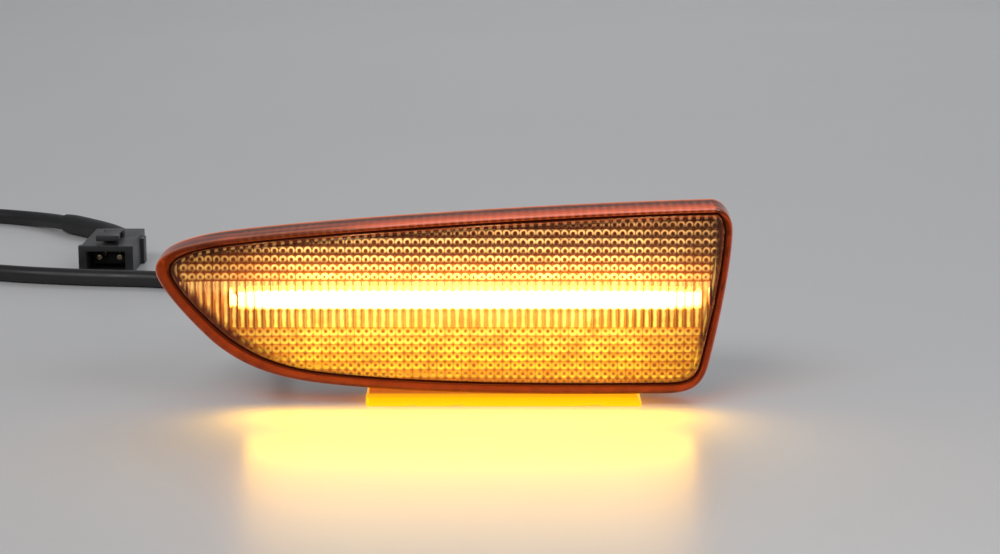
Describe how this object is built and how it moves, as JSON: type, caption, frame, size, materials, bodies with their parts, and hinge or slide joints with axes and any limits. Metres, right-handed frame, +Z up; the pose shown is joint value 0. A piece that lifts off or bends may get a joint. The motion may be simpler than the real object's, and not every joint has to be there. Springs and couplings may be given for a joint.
{
  "type": "vehicle indicator lamp",
  "caption": "Slim side indicator lamp for a car wing: amber pillow-optic lens over a straight light bar, shallow black housing with gasket, hook and spring clip, and a short lead with a plug.",
  "frame": {"origin": "under the middle of the lamp's box, without its lead, on the surface it stands on", "axes": "+X along the lens towards its tall end, +Y from the lens into the vehicle, +Z up"},
  "size_m": [0.2141, 0.1952, 0.0389],
  "materials": {
    "amber_lens": "clear amber, glossy",
    "sealant": "dull",
    "reflector": "satin",
    "light_bar": "milky",
    "board": "white solder mask",
    "led": "yellow phosphor",
    "chip_black": "moulded",
    "can_metal": "drawn",
    "screw_steel": "zinc plated",
    "wire_red": "smooth",
    "wire_black": "smooth",
    "housing": "fine moulded grain",
    "foam": "closed-cell foam",
    "spring_steel": "rolled strip",
    "cap_rubber": "matt",
    "grommet_rubber": "matt",
    "lead_jacket": "satin sheath",
    "shrink_sleeve": "shrunk sleeve",
    "connector": "moulded",
    "seal_rubber": "silicone",
    "terminal_brass": "tinned brass"
  },
  "bodies": {
    "root": {"lens": "amber_lens", "lens_seal": "sealant", "reflector": "reflector", "light_bar": "light_bar", "circuit_board": "board", "led_01": "led", "led_02": "led", "led_03": "led", "led_04": "led", "led_05": "led", "led_06": "led", "led_07": "led", "led_08": "led", "led_09": "led", "led_10": "led", "led_11": "led", "led_12": "led", "led_13": "led", "led_14": "led", "driver_chip": "chip_black", "resistor_1": "chip_black", "resistor_2": "chip_black", "resistor_3": "chip_black", "resistor_4": "chip_black", "capacitor": "can_metal", "diode": "chip_black", "board_screws": "screw_steel", "wire_live": "wire_red", "wire_return": "wire_black", "rear_housing": "housing", "mounting_gasket": "foam", "spring_clip": "spring_steel", "clip_screw": "screw_steel", "breather_cap": "cap_rubber", "cable_grommet": "grommet_rubber", "lead": "lead_jacket", "lead_sleeve": "shrink_sleeve", "connector_body": "connector", "connector_lock": "connector", "connector_seal": "seal_rubber", "terminal_1": "terminal_brass", "terminal_2": "terminal_brass"}
  },
  "joints": []
}
